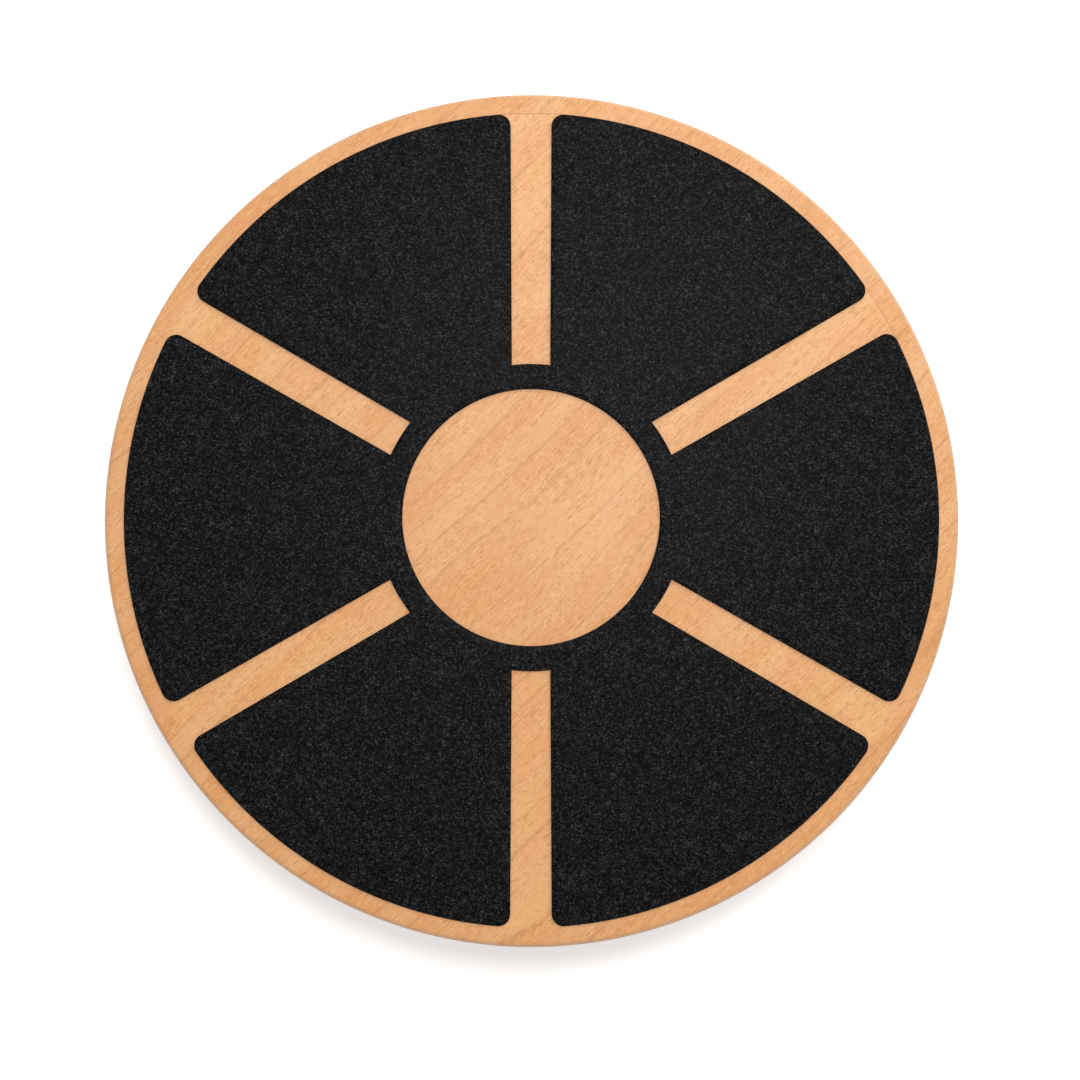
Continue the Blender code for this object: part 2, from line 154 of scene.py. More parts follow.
class SoleSettings(PropertyGroup):
    """The rubbery sole with its ring grooves and studs."""
    thickness: length("Thickness", "Thickness of the sole", 0.004)
    to_well: length("To the wells", "Plastic left between the sole and the wells", 0.011)
    edge_radius: length("Edge radius", "Rounding of the sole's rim", 0.0008)
    groove_pitch: length("Groove pitch", "Distance between ring grooves", 0.0066)
    groove_width: length("Groove width", "Width of a ring groove", 0.0016)
    groove_depth: length("Groove depth", "Depth of a ring groove", 0.0012)
    stud_inset: length("Stud inset", "Distance of the studs from the sole's rim", 0.0145)
    stud_diameter: length("Stud", "Diameter of a stud's stem", 0.005)
    stud_head: length("Stud head", "Diameter of a stud's head", 0.0076)
    stud_height: length("Stud head height", "Height of a stud's head", 0.0028)
    rubber: tint("Rubber", "Colour of the sole", (0.045, 0.046, 0.048))


class ScrewSettings(PropertyGroup):
    """The pan-head wood screws."""
    diameter: length("Diameter", "Diameter over the thread", 0.004)
    pitch: length("Pitch", "Rise of the thread in one turn", 0.0018)
    thread_depth: length("Thread depth", "Depth of the thread", 0.0006)
    tip_length: length("Tip length", "Length of the point", 0.004)
    head_height: length("Head height", "Height of the pan head", 0.0028)
    head_round: length("Head rounding", "Rounding of the pan head", 0.0012)
    recess_width: length("Recess width", "Width of one arm of the cross recess", 0.0012)
    recess_span: length("Recess span", "Length across the cross recess", 0.0044)
    recess_depth: length("Recess depth", "Depth of the cross recess", 0.0016)
    steel: tint("Steel", "Colour of the zinc plating", (0.550, 0.560, 0.580))


class StageSettings(PropertyGroup):
    """The floor, the lamps, the world and the camera."""
    focal_length: FloatProperty(name="Focal length", description="Lens of the camera, in mm",
                                default=78.4, min=10.0)
    distance: length("Distance", "From the camera to the middle of the deck", 1.1)
    lean: FloatVectorProperty(name="Lean", description="View's lean from straight down, to +X and -Y",
                              default=(math.radians(0.6), math.radians(3.3)), size=2, subtype='EULER')
    aim: FloatVectorProperty(name="Aim", description="Point of the deck's top in mid picture",
                             default=(0.0042, -0.0107), size=2, subtype='XYZ', unit='LENGTH')
    floor_colour: tint("Floor", "Colour of the floor", (0.80, 0.80, 0.80))
    daylight: FloatProperty(name="Daylight", description="Strength of the world", default=0.36, min=0.0)


def adjust(thing, **settings):
    """Sets several properties of a thing and returns it."""
    for name, value in settings.items():
        setattr(thing, name, value)
    return thing


# Surfaces: profiles, grids and meshes

def arc(centre, radius, start, end, steps):
    """Points (r, z) of an arc about a centre, at evenly spaced angles in degrees."""
    angles = np.radians(np.linspace(start, end, steps + 1))
    return np.column_stack([centre[0] + radius * np.cos(angles),
                            centre[1] + radius * np.sin(angles)])


def ball_centre(dome):
    """Height of the centre of every sphere: the flat at the pole cuts the rolling sphere at z 0."""
    return math.sqrt(dome.roll_radius ** 2 - dome.foot_radius ** 2)


def ball_arc(dome, sphere, start_radius, end_radius, steps):
    """Points (r, z) on the lower side of a sphere, at even angles t: (R sin t, centre - R cos t)."""
    angles = np.linspace(math.asin(start_radius / sphere), math.asin(end_radius / sphere), steps + 1)
    return np.column_stack([sphere * np.sin(angles), ball_centre(dome) - sphere * np.cos(angles)])


def ball_radius(dome, sphere, height):
    """Radius of a sphere at a height: the square root of R squared less the drop squared."""
    return math.sqrt(sphere ** 2 - (ball_centre(dome) - height) ** 2)


def ball_height(dome, sphere, radius):
    """Height of the lower side of a sphere at a radius."""
    return ball_centre(dome) - math.sqrt(sphere ** 2 - radius ** 2)


def rounded(runs, radius, steps=4):
    """Joins runs of (r, z) points and rounds the corner between each run and the next.

    An arc touches both sides, radius x tan(half the turn) from the corner or a share of the
    shorter side where that is less, and turns evenly from one to the other.
    """
    longest_share = 0.45
    points = runs[0]
    for run in runs[1:]:
        corner = run[0]
        into, out = corner - points[-2], run[1] - corner
        room = longest_share * min(np.linalg.norm(into), np.linalg.norm(out))
        into, out = into / np.linalg.norm(into), out / np.linalg.norm(out)
        turn = math.atan2(into[0] * out[1] - into[1] * out[0], into @ out)
        slope = math.tan(abs(turn) / 2)
        reach = min(radius * slope, room)
        bend = reach / slope
        angles = np.linspace(0.0, abs(turn), steps + 1)
        side = np.array([-into[1], into[0]]) * math.copysign(1.0, turn)
        curve = (corner - into * reach + bend * np.outer(np.sin(angles), into)
                 + bend * np.outer(1.0 - np.cos(angles), side))
        points = np.vstack([points[:-1], curve, run[1:]])
    return points


def turned_points(profile, segments, radii=None):
    """Grid of points of a profile turned about Z: (r cos a, r sin a, z), a going once round.

    radii, where given, is the radius at every row and column instead of the profile's own.
    """
    angles = np.linspace(0.0, math.tau, segments, endpoint=False)
    radius = profile[:, :1] + 0 * angles if radii is None else radii
    height = profile[:, 1:] + 0 * angles
    return np.stack([radius * np.cos(angles), radius * np.sin(angles), height], axis=-1)


def grid_quads(rows, columns, first=0, closed=True):
    """Quads of a grid of points numbered row by row, its columns closed round where asked.

    Where rows run down an outer side and columns run anticlockwise, the quads face outwards.
    """
    above = np.arange(rows - 1)[:, None] * columns
    below = above + columns
    column = np.arange(columns if closed else columns - 1)
    beside = (column + 1) % columns
    corners = [above + column, below + column, below + beside, above + beside]
    return first + np.stack(corners, axis=-1).reshape(-1, 4)


def weld(mesh):
    """Merges points that coincide, which closes seams and poles."""
    work = bmesh.new()
    work.from_mesh(mesh)
    bmesh.ops.remove_doubles(work, verts=work.verts, dist=WELD)
    work.to_mesh(mesh)
    work.free()
    mesh.update()


def new_object(name, data):
    """An object of a mesh, a lamp or a camera, at the origin."""
    obj = bpy.data.objects.new(name, data)
    bpy.context.scene.collection.objects.link(obj)
    return obj


def mesh_object(name, points, quads):
    """An object of points and quads, with seams and poles welded shut."""
    mesh = bpy.data.meshes.new(name)
    mesh.from_pydata(points.reshape(-1, 3).tolist(), [], quads.tolist())
    weld(mesh)
    return new_object(name, mesh)


def grid_object(name, points):
    """An object of a grid of points whose columns close round."""
    return mesh_object(name, points, grid_quads(*points.shape[:2]))


def turned_object(name, profile, segments):
    """An object turned about Z from a profile that runs down its outer side."""
    return grid_object(name, turned_points(profile, segments))


def rod_object(name, radius, low, high, segments):
    """A plain rod about Z."""
    profile = np.array([(0.0, high), (radius, high), (radius, low), (0.0, low)])
    return turned_object(name, profile, segments)


def levelled(outline, levels):
    """Grid of an outline (x, y, 0) at each level's scale and height."""
    return np.stack([outline * scale + (0.0, 0.0, height) for scale, height in levels])


def box_object(name, low, high):
    """A box: a square of side 2 and its closed ends, stretched and moved."""
    low, high = np.array(low), np.array(high)
    square = np.array([(-1, -1, 0), (1, -1, 0), (1, 1, 0), (-1, 1, 0)])
    points = levelled(square, ((0, 1), (1, 1), (1, -1), (0, -1)))
    return grid_object(name, (low + high) / 2 + (high - low) / 2 * points)


def turned(points, angle, axis=2):
    """Points turned by an angle about Z or, by its number, another axis."""
    first, second = (axis + 1) % 3, (axis + 2) % 3
    turn = np.eye(3)
    turn[first, first] = turn[second, second] = math.cos(angle)
    turn[second, first] = math.sin(angle)
    turn[first, second] = -math.sin(angle)
    return points @ turn.T


def mesh_points(mesh):
    """The mesh's points as an array."""
    values = np.empty(len(mesh.vertices) * 3)
    mesh.vertices.foreach_get("co", values)
    return values.reshape(-1, 3)


def set_mesh_points(mesh, points):
    """Moves the mesh's points."""
    mesh.vertices.foreach_set("co", points.ravel())
    mesh.update()


def copies_round(obj, count):
    """Copies of the object in its stead, spaced evenly about Z, each with its place in its mesh."""
    made = []
    start = mesh_points(obj.data)
    for i in range(count):
        made.append(new_object(f"{obj.name}_{i + 1}", obj.data.copy()))
        set_mesh_points(made[-1].data, turned(start, math.tau * i / count))
    bpy.data.objects.remove(obj)
    return made


def at_screws(obj):
    """Moves a piece made on Z out to the screws' circle and copies it to each screw."""
    set_mesh_points(obj.data, mesh_points(obj.data) + (screw_circle, 0.0, 0.0))
    return copies_round(obj, screw_count)


def carve(obj, others, operation='DIFFERENCE'):
    """Cuts objects out of this one, or joins them to it, in one exact Boolean, and drops them."""
    group = bpy.data.collections.new(obj.name + "_tools")
    bpy.context.scene.collection.children.link(group)
    for other in others:
        group.objects.link(other)
    adjust(obj.modifiers.new("Cut", 'BOOLEAN'), operation=operation, operand_type='COLLECTION',
           collection=group, solver='EXACT')
    bpy.context.view_layer.update()
    graph = bpy.context.evaluated_depsgraph_get()
    obj.data = bpy.data.meshes.new_from_object(obj.evaluated_get(graph), depsgraph=graph)
    obj.modifiers.clear()
    weld(obj.data)
    for other in others:
        bpy.data.objects.remove(other)
    bpy.data.collections.remove(group)


def dress(obj, material, slot, *nodes):
    """Finishes a piece: smooth between sharp edges, painted, on the board's one body."""
    obj.data.shade_smooth()
    obj.data.set_sharp_from_angle(angle=SHARP)
    obj.data.materials.clear()
    obj.data.materials.append(material)
    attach(obj, "root")
    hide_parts(*nodes)


# Shader trees

class Tree:
    """A node tree with short ways to add and wire its nodes."""

    def __init__(self, tree):
        self.tree = tree

    def fill(self, node, inputs):
        """Links a node's inputs, by name or in order, or sets those whose value is plain."""
        pairs = inputs.items() if isinstance(inputs, dict) else enumerate(inputs)
        for name, value in pairs:
            if isinstance(value, bpy.types.NodeSocket):
                self.tree.links.new(value, node.inputs[name])
            else:
                node.inputs[name].default_value = value
        return node

    def add(self, kind, inputs=(), **settings):
        """A node, with its own settings and its inputs."""
        return self.fill(adjust(self.tree.nodes.new(kind), **settings), inputs)

    def math(self, operation, *values, clamp=False):
        """A Math node's result."""
        return self.add('ShaderNodeMath', values, operation=operation, use_clamp=clamp).outputs[0]

    def times(self, first, second):
        """The product of two values."""
        return self.math('MULTIPLY', first, second)

    def plus(self, base, value, share):
        """A value's share added to a base."""
        return self.math('MULTIPLY_ADD', value, share, base)

    def vector(self, operation, *values):
        """A Vector Math node's result: a vector or, of a length or a dot product, a value."""
        node = self.add('ShaderNodeVectorMath', values, operation=operation)
        return next(socket for socket in node.outputs if socket.enabled)

    def remap(self, value, low, high, to_low=0.0, to_high=1.0):
        """A value eased from one range to another."""
        inputs = (value, low, high, to_low, to_high)
        return self.add('ShaderNodeMapRange', inputs, interpolation_type='SMOOTHSTEP').outputs[0]

    def blend(self, factor, first, second, kind='RGBA', mode='MIX'):
        """A Mix node's result, of colours or of values."""
        node = self.add('ShaderNodeMix', data_type=kind, blend_type=mode)
        numbers = [number for number, socket in enumerate(node.inputs) if socket.enabled]
        self.fill(node, dict(zip(numbers, (factor, first, second))))
        return next(socket for socket in node.outputs if socket.enabled)

    def cover(self, base, colour, mask, share):
        """A plain colour laid over another, as far as a share of a mask says."""
        return self.blend(self.times(mask, share), base, rgba(colour))

    def counted(self, vector, lengths):
        """A vector in metres counted in features of one to three lengths along, across and up."""
        lengths = (*lengths, lengths[-1], lengths[-1])[:3]
        return self.vector('MULTIPLY', vector, [1 / value for value in lengths])

    def cells(self, counted):
        """Voronoi cells of a counted vector: each one's chance, and the distance to its seed."""
        node = self.add('ShaderNodeTexVoronoi', {"Vector": counted, "Scale": 1.0})
        chance = self.add('ShaderNodeSeparateColor', [node.outputs["Color"]]).outputs[0]
        return chance, node.outputs["Distance"]

    def noise(self, vector, lengths, detail=2.0, roughness=0.5):
        """A noise texture's value, its features of the given lengths."""
        inputs = {"Vector": self.counted(vector, lengths), "Scale": 1.0, "Detail": detail,
                  "Roughness": roughness}
        return self.add('ShaderNodeTexNoise', inputs).outputs[0]

    def bump(self, height, depth, strength):
        """A normal tilted by a height, which counts a depth in metres."""
        inputs = {"Height": height, "Distance": depth, "Strength": strength}
        return self.add('ShaderNodeBump', inputs).outputs[0]


def new_group(name, values, results):
    """A group that turns a Vector and named values into results, its tree and its two ends."""
    group = bpy.data.node_groups.new(name, 'ShaderNodeTree')
    group.interface.new_socket(name="Vector", in_out='INPUT', socket_type='NodeSocketVector')
    for way, labels in (('INPUT', values), ('OUTPUT', results)):
        for label in labels:
            group.interface.new_socket(name=label, in_out=way, socket_type='NodeSocketFloat')
    tree = Tree(group)
    return group, tree, tree.add('NodeGroupInput'), tree.add('NodeGroupOutput')


def use_group(tree, name, build, inputs):
    """The outputs of a group's node. The group is built the first time only."""
    group = bpy.data.node_groups.get(name) or build(name)
    return tree.add('ShaderNodeGroup', inputs, node_tree=group).outputs


def new_material(name, colour):
    """A material, its tree helper, its Principled shader and its Object coordinates."""
    material = bpy.data.materials.new(name)
    material.use_nodes = True
    material.diffuse_color = rgba(colour)
    tree = Tree(material.node_tree)
    place = tree.add('ShaderNodeTexCoord').outputs["Object"]
    return material, tree, material.node_tree.nodes["Principled BSDF"], place


def rgba(colour):
    """A colour setting as a socket's four numbers."""
    return (*colour, 1.0)


def shaded(colour, share):
    """A colour darkened or lightened to a share of itself, up to white."""
    return [min(1.0, channel * share) for channel in colour]


def deeper(colour, power):
    """A colour with each channel raised to a power: darker and richer above 1, paler below."""
    return rgba([channel ** power for channel in colour])


def build_grain(name):
    """Beech along X of its vector: bands, blushes, ring lines, and short dark and light strokes.

    Every texture is a 3D one stretched along the grain, so it runs true through the thickness.
    A stroke is below 0 where it is dark and above where it is light. Strokes are noise and, where
    the wood is crowded, cells of two sizes for each sign, of which a share is kept.
    """
    group, tree, start, end = new_group(name, [], ["Band", "Blush", "Line", "Stroke"])
    plain = start.outputs["Vector"]
    drift = tree.noise(plain, (0.110, 0.045), 1.0)
    shift = tree.times(tree.math('SUBTRACT', drift, 0.5), 0.010)
    place = tree.vector('ADD', plain, tree.add('ShaderNodeCombineXYZ', {"Y": shift}).outputs[0])

    bands = tree.noise(place, (0.080, 0.015, 0.02))
    blushes = tree.noise(plain, (0.034, 0.012, 0.02), 1.0)
    fibres = tree.noise(place, (0.0034, 0.0008), 1.0, 0.65)

    ring_spacing, ring_sway = 0.0125, 2.5
    across = tree.add('ShaderNodeSeparateXYZ', [place]).outputs["Y"]
    wander = tree.noise(plain, (0.160, 0.030), 1.0)
    turns = tree.plus(tree.math('DIVIDE', across, ring_spacing), wander, ring_sway)
    wave = tree.math('COSINE', tree.times(turns, math.tau))
    fade = tree.remap(tree.noise(place, (0.050, 0.012), 1.0), 0.36, 0.56)

    crowd = tree.remap(tree.noise(plain, (0.022, 0.012), 1.0), 0.3, 0.7, 0.93, 0.48)
    # Dark strokes, then light ones: how far two sizes of cell are moved, their length and width
    kinds = (((0.0, (0.0060, 0.00070)), (0.37, (0.0019, 0.00050))),
             ((0.53, (0.0066, 0.00072)), (0.71, (0.0023, 0.00052))))
    marks = []
    for sizes in kinds:
        found = []
        for moved, lengths in sizes:
            aside = tree.vector('ADD', place, (moved,) * 3)
            chance, distance = tree.cells(tree.counted(aside, lengths))
            shape = tree.remap(distance, 0.10, 0.50, 1.0, 0.0)
            found.append(tree.times(shape, tree.math('GREATER_THAN', chance, crowd)))
        marks.append(tree.math('MAXIMUM', *found))
    dark, light = marks
    fibre_share, light_share, dark_share = 0.24, 0.65, -0.85
    stroke = tree.times(tree.remap(fibres, 0.25, 0.75, -1.0, 1.0), fibre_share)
    stroke = tree.plus(tree.plus(stroke, light, light_share), dark, dark_share)
    tree.fill(end, {"Band": tree.remap(bands, 0.3, 0.7), "Blush": tree.remap(blushes, 0.3, 0.7),
                    "Line": tree.times(tree.remap(wave, 0.90, 1.0), fade), "Stroke": stroke})
    return group


def build_grains(name):
    """Packed grains of one size: a chance value and a domed height for each."""
    group, tree, start, end = new_group(name, ["Size"], ["Chance", "Height"])
    chance, distance = tree.cells(tree.vector('DIVIDE', *start.outputs[:2]))
    tree.fill(end, {"Chance": chance, "Height": tree.remap(distance, 0.0, 0.8, 1.0, 0.0)})
    return group


def grains(tree, place, size):
    """Chance and height of packed grains of a size, from the group that three finishes share."""
    return use_group(tree, "packed_grains", build_grains, {"Vector": place, "Size": size})


def beech_material(deck):
    """Lacquered beech plywood: face grain on top and underneath, striped plies on the edge.

    The rim, which the seat leaves standing, is pinker than the wood that turning laid bare. The
    wood pales outwards, and its rounded edges carry a painted highlight of a pale colour. A ply is the
    height above the underside counted in veneers. Odd ones run across the face's grain, and glue
    lines lie where one veneer meets the next.
    """
    material, tree, shader, place = new_material("beech", deck.wood)
    margin, origin, seat_fade, rim_fade = 0.0001, (0.49, -0.92, 0.0), 0.28, 0.13
    height = tree.add('ShaderNodeSeparateXYZ', [place]).outputs["Z"]
    ply = (deck_top - deck_bottom + 2 * margin) / deck.ply_count
    veneer = tree.math('DIVIDE', tree.math('SUBTRACT', height, deck_bottom - margin), ply)
    crossed = tree.math('MODULO', tree.math('FLOOR', veneer), 2.0)
    angle = tree.plus(-deck.grain_angle, crossed, -math.pi / 2)
    turn = tree.add('ShaderNodeCombineXYZ', {"Z": angle}).outputs[0]
    along = tree.add('ShaderNodeMapping', {"Vector": place, "Location": origin, "Rotation": turn})
    band, blush, line, stroke = use_group(tree, "beech_grain", build_grain, [along.outputs[0]])

    radius = tree.vector('LENGTH', tree.vector('MULTIPLY', place, (1.0, 1.0, 0.0)))
    rim = tree.math('GREATER_THAN', radius, seat_radius + margin)
    paler = tree.times(tree.remap(radius, 0.05, 0.18), tree.blend(rim, seat_fade, rim_fade, 'FLOAT'))
    pinker = tree.plus(blush, rim, 0.6)
    wood = tree.blend(band, deeper(deck.wood, 1.12), deeper(deck.wood, 0.89))
    wood = tree.cover(wood, deck.pale, paler, 1.0)
    wood = tree.blend(pinker, wood, rgba(deck.blush), mode='MULTIPLY')
    wood = tree.cover(wood, deck.fleck, line, 0.60)
    wood = tree.cover(wood, deck.pale, stroke, 1.0)
    wood = tree.cover(wood, deck.fleck, stroke, -1.0)

    normal = tree.add('ShaderNodeNewGeometry').outputs["Normal"]
    run = (math.cos(deck.grain_angle), math.sin(deck.grain_angle), 0.0)
    facing = tree.vector('DOT_PRODUCT', normal, run)
    ends = tree.times(facing, facing)
    rise = tree.vector('DOT_PRODUCT', normal, (0.0, 0.0, 1.0))
    side = tree.times(tree.math('SUBTRACT', 1.0, tree.times(rise, rise)), rim)
    end_grain = tree.blend(crossed, ends, tree.math('SUBTRACT', side, ends), 'FLOAT')
    seam = tree.remap(tree.math('PINGPONG', veneer, 0.5), 0.02, 0.07, 1.0, 0.0)
    # Painted highlight on the rim's rounding: this mask peaks halfway round the eased edge, where a pale
    # colour is laid over the wood
    eased = tree.times(side, tree.math('SUBTRACT', 1.0, side))
    wood = tree.cover(wood, shaded(deck.wood, 0.55), end_grain, 0.40)
    wood = tree.cover(wood, deck.glue, tree.times(seam, side), 0.7)
    wood = tree.cover(wood, deck.edge_highlight, eased, 0.56)
    tree.fill(shader, {
        "Base Color": wood, "Roughness": tree.remap(stroke, -1.0, 1.0, 0.54, 0.42),
        "Specular IOR Level": 0.35, "Coat Weight": tree.remap(side, 0.0, 0.6, 0.12, 0.60),
        "Coat Roughness": 0.35, "Normal": tree.bump(stroke, 0.00008, 0.7)})
    return material


def grit_material(grip):
    """Black grit on a sheet: grains of two sizes, from dark to those that catch the light."""
    material, tree, shader, place = new_material("grit_sheet", grip.grit)
    coarse, fine = grains(tree, place, 0.0008), grains(tree, place, 0.0005)
    clumps = tree.noise(place, [0.0025], 2.0, 0.7)
    cloud = tree.noise(place, [0.008])
    lift = tree.times(coarse["Chance"], 0.38)
    for value, share in ((fine["Chance"], 0.48), (tree.remap(clumps, 0.25, 0.75), 0.08),
                         (tree.remap(cloud, 0.25, 0.75), 0.06)):
        lift = tree.plus(lift, value, share)
    spark = tree.math('POWER', lift, 4.2)
    relief = tree.plus(tree.times(coarse["Height"], 0.6), fine["Height"], 0.4)
    tree.fill(shader, {
        "Base Color": tree.blend(spark, rgba(grip.grit), rgba(grip.spark)), "Roughness": 0.80,
        "Specular IOR Level": 0.01, "Coat Weight": 0.035, "Coat Roughness": 0.38,
        "Normal": tree.bump(relief, 0.00030, 0.7)})
    return material


def plastic_material(dome):
    """Moulded black plastic with a fine spark-eroded texture and soft handling marks."""
    material, tree, shader, place = new_material("black_abs", dome.plastic)
    texture = grains(tree, place, 0.0007)
    wear = tree.remap(tree.noise(place, [0.030], 4.0, 0.6), 0.35, 0.75)
    tree.fill(shader, {
        "Base Color": tree.cover(rgba(dome.plastic), shaded(dome.plastic, 1.6), wear, 0.5),
        "Roughness": tree.remap(wear, 0.0, 1.0, 0.42, 0.56),
        "Normal": tree.bump(texture["Height"], 0.00004, 0.6)})
    return material


def rubber_material(sole):
    """Matt rubber, a little paler where it has rubbed on the floor."""
    material, tree, shader, place = new_material("sole_rubber", sole.rubber)
    texture = grains(tree, place, 0.0005)
    cloud = tree.noise(place, [0.008], 4.0, 0.65)
    dust = tree.remap(cloud, 0.45, 0.75)
    tree.fill(shader, {
        "Base Color": tree.cover(rgba(sole.rubber), shaded(sole.rubber, 2.2), dust, 0.35),
        "Roughness": tree.remap(cloud, 0.3, 0.7, 0.70, 0.85),
        "Normal": tree.bump(texture["Height"], 0.00005, 0.5)})
    return material


def zinc_material(screw):
    """Zinc-plated steel, slightly mottled."""
    material, tree, shader, place = new_material("zinc_steel", screw.steel)
    cloud = tree.noise(place, [0.0016], 3.0, 0.6)
    dull, bright = rgba(shaded(screw.steel, 0.82)), rgba(shaded(screw.steel, 1.12))
    tree.fill(shader, {
        "Base Color": tree.blend(tree.remap(cloud, 0.3, 0.7), dull, bright), "Metallic": 1.0,
        "Roughness": tree.remap(cloud, 0.3, 0.7, 0.28, 0.42),
        "Normal": tree.bump(cloud, 0.00002, 0.4)})
    return material


# Shapes of the pieces

def deck_profile(deck):
    """Seat floor, seat wall, rim, eased top edge, side, eased bottom edge and underside."""
    ease = deck.edge_radius
    corner, floor = deck_radius - ease, deck_top - deck.seat_depth
    seat = [(r, floor) for r in np.linspace(0.0, seat_radius, 5)] + [(seat_radius, deck_top)]
    top_edge = arc((corner, deck_top - ease), ease, 90, 0, 8)
    low_edge = arc((corner, deck_bottom + ease), ease, 0, -90, 8)
    under = [(r, deck_bottom) for r in np.linspace(corner, 0.0, 5)[1:]]
    return np.vstack([seat, top_edge, low_edge, under])


def make_deck(deck, screw):
    """The wooden disc, with a blind pilot hole for each screw."""
    obj = turned_object("beech_deck", deck_profile(deck), 512)
    hole = rod_object("pilot_hole", screw.diameter / 2 + fit_gap, deck_bottom - fit_gap,
                      screw_high.z + fit_gap, 32)
    carve(obj, at_screws(hole))
    return obj


def slot_side(grip, radius):
    """Half width of a slot at each radius: half the width plus the flare's share so far out."""
    start = grip.centre_diameter / 2 + grip.ring_width
    share = (radius - start) / (grip_high.x - start)
    return grip.slot_width / 2 + grip.slot_flare / 2 * share


def side_angle(grip, radius, shift):
    """Angle from a slot's own bearing to its side at each radius, with the slot moved that way.

    It is the arcsine of the side's distance over the radius. Near the rim the lobe's corner takes
    over: its circle touches the rim and the slot's side, its centre one corner radius from both.
    """
    plain, bend = np.arcsin((slot_side(grip, radius) + shift) / radius), grip.corner_radius
    reach = grip_high.x - bend
    inset = slot_side(grip, reach) + shift + bend
    cosine = (radius ** 2 + reach ** 2 - bend ** 2) / (2 * radius * reach)
    corner = math.asin(inset / reach) - np.arccos(np.clip(cosine, -1.0, 1.0))
    touch = math.sqrt(reach ** 2 - inset ** 2)
    start = math.hypot(touch, slot_side(grip, touch) + shift)
    return np.where(radius > start, np.maximum(plain, corner), plain)


def lobe_angles(grip, lobe, radius):
    """Lowest and highest angle of a lobe at each radius, from the slot before it to the next.

    A slot's shift goes with the sine of twice its bearing, so it is mirrored in both axes.
    """
    share = math.tau / grip.lobe_count
    before, after = share * (lobe - 0.5), share * (lobe + 0.5)
    low = before + side_angle(grip, radius, grip.slot_shift * math.sin(2 * before))
    high = after - side_angle(grip, radius, -grip.slot_shift * math.sin(2 * after))
    return low, high


def make_grip(grip):
    """The sheet: a ring and its lobes as grids of radius and angle that share their edges.

    A lobe's point is (r, low + s x (high - low)), with s from 0 to 1 and its two angles at r. The
    ring's angles are those of the lobes' inner ends and, between them, of the slots' inner ends.
    The lobes' rows draw together towards the rim, where the corners turn.
    """
    inner, rim = grip.centre_diameter / 2, grip_high.x
    start = inner + grip.ring_width
    spread = np.linspace(0.0, 1.0, 49)
    rows = start + (rim - start) * np.sin(np.linspace(0.0, math.pi / 2, 61))[:, None]
    lobes, ring_angles = [], []
    for lobe in range(grip.lobe_count):
        low, high = lobe_angles(grip, lobe, rows)
        next_low = lobe_angles(grip, lobe + 1, rows[:1])[0]
        lobes.append(low + (high - low) * spread)
        ring_angles += [lobes[-1][0], np.linspace(high[0, 0], next_low[0, 0], 11)[1:-1]]
    angles = np.concatenate(ring_angles)
    radii = np.linspace(inner, start, 5)[:, None]
    points, quads = [], []
    for radius, angle, closed in [(radii, angles + 0 * radii, True)] + [(rows, a, False) for a in lobes]:
        grid = np.stack([radius * np.cos(angle), radius * np.sin(angle),
                         np.full(angle.shape, grip_high.z)], axis=-1)
        quads.append(grid_quads(*angle.shape, sum(map(len, points)), closed))
        points.append(grid.reshape(-1, 3))
    obj = mesh_object("grit_sheet", np.vstack(points), np.vstack(quads))
    adjust(obj.modifiers.new("Thickness", 'SOLIDIFY'), thickness=grip_high.z - grip_low.z, offset=-1.0)
    adjust(obj.modifiers.new("Cut edge", 'BEVEL'), width=grip.edge_round, segments=2,
           limit_method='ANGLE', angle_limit=math.radians(60))
    return obj


def sole_radius(dome, sole):
    """Radius of the sole's rim: in from the screws' circle by a well and the plastic beside it."""
    return screw_circle - head_radius - dome.well_clearance - sole.to_well


def shell_arcs(dome, sole, inset, height, steps):
    """Arcs of the ball, from a height down to the sole's recess, and of its floor, both inset."""
    ball = dome.roll_radius - dome.sole_proud - inset
    floor = dome.roll_radius - sole.thickness - fit_gap - inset
    recess = sole_radius(dome, sole) + fit_gap + inset
    return (ball_arc(dome, ball, ball_radius(dome, ball, height), recess, 2 * steps),
            ball_arc(dome, floor, recess, 0.0, steps))


def dome_profile(dome, sole):
    """Top face, skirt, ball, recess wall and recess floor, with every moulded corner rounded."""
    skirt_low = base_top - dome.skirt_height
    ball, floor = shell_arcs(dome, sole, 0.0, skirt_low, 24)
    bevel, ease = 0.0003, dome.skirt_round
    top = [(0.0, base_top), (skirt_radius - bevel, base_top), (skirt_radius, base_top - bevel)]
    edge = arc((skirt_radius - ease, skirt_low + ease), ease, 0, -90, 6)
    start = np.vstack([top, edge, ball[:1]])
    wall = np.array([ball[-1], floor[0]])
    return rounded([start, ball, wall, floor], dome.corner_round)


def cavity_profile(dome, sole):
    """Inside of the dome, open at the top, one wall in from the ball and from the recess."""
    side, floor = shell_arcs(dome, sole, dome.wall, base_top, 16)
    lid = base_top + dome.wall
    return np.vstack([[(0.0, lid), (side[0, 0], lid)], side, floor])


def lean_about_ball(dome, sole, obj):
    """Leans a piece made at the pole out to the first stud, halfway between two ribs.

    A point turns about Y at the spheres' centre by the studs' angle, then about Z.
    """
    middle = (0.0, 0.0, ball_centre(dome))
    circle = sole_radius(dome, sole) - sole.stud_inset
    tilt = math.asin(circle / (dome.roll_radius - sole.thickness))
    points = turned(mesh_points(obj.data) - middle, -tilt, 1) + middle
    half_rib = math.pi / (screw_count * dome.ribs_per_screw)
    set_mesh_points(obj.data, turned(points, half_rib))


